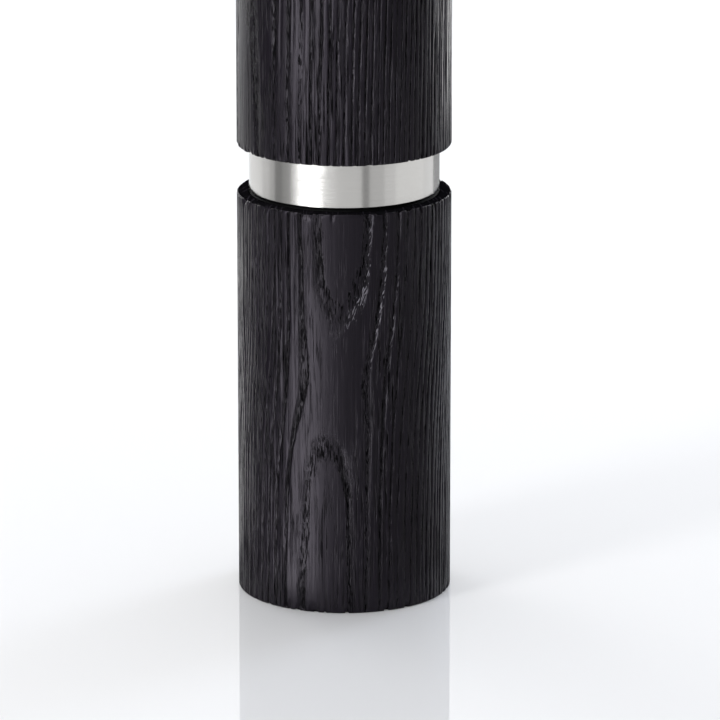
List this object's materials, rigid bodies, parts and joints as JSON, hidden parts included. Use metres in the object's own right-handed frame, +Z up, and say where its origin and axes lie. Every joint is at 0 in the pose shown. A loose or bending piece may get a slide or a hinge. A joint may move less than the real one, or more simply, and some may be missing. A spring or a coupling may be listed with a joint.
{
  "type": "pepper mill",
  "caption": "Tall cylindrical pepper mill in black brushed oak with a recessed steel collar, a turning pull-off head and an adjustable ceramic grinder in its base.",
  "frame": {"origin": "centre of the foot, on the surface that the mill stands on", "axes": "+Z up along the mill's axis, from the foot to the head; +X along one arm of the grinder housing"},
  "size_m": [0.058, 0.058, 0.2],
  "materials": {
    "black_oak": "brushed oak, stained black, satin oil",
    "collar_steel": "turned and brushed round",
    "acetal": "natural white, smooth",
    "clear_acrylic": "clear, polished",
    "silicone": "translucent grey, matte",
    "black_nylon": "moulded, fine matte",
    "burr_ceramic": "sintered, unglazed",
    "shaft_alloy": "drawn, satin",
    "screw_steel": "plain bright",
    "grip_rubber": "matte",
    "brass": "turned"
  },
  "bodies": {
    "body": {"body_shell": "black_oak", "collar_ring": "collar_steel", "slip_sleeve": "acetal", "hopper_liner": "clear_acrylic", "hopper_seal": "silicone", "grinder_housing": "black_nylon", "stator_burr": "burr_ceramic", "stator_retainer": "black_nylon", "flange_screws": "screw_steel", "shaft_bush": "acetal"},
    "drive": {"drive_shaft": "shaft_alloy", "thrust_washer": "screw_steel", "spring_washer": "screw_steel", "grinder_spring": "screw_steel", "grip_ring": "grip_rubber"},
    "rotor": {"rotor_burr": "burr_ceramic", "rotor_carrier": "black_nylon"},
    "adjuster": {"adjuster_knob": "black_nylon", "adjuster_nut": "brass"},
    "head": {"head_shell": "black_oak", "head_insert": "black_nylon", "drive_socket": "brass", "plate_screws": "screw_steel"}
  },
  "joints": [
    {"name": "head_turn", "type": "hinge", "parent": "body", "child": "drive", "pos_m": [0, 0, 0.0348], "axis": [0, 0, 1], "continuous": true},
    {"name": "head_lift", "type": "slide", "parent": "drive", "child": "head", "axis": [0, 0, 1], "range_m": [0, 0.06]},
    {"name": "rotor_feed", "type": "slide", "parent": "drive", "child": "rotor", "axis": [0, 0, 1], "range_m": [-0.0007, 0.00035], "deforming": ["grinder_spring"]},
    {"name": "grind_adjust", "type": "hinge", "parent": "rotor", "child": "adjuster", "pos_m": [0, 0, 0.0045], "axis": [0, 0, 1], "range_deg": [-360, 180]}
  ],
  "couplings": [
    {"joint": "grind_adjust", "follows": "rotor_feed", "rad_per_m": 8976}
  ]
}
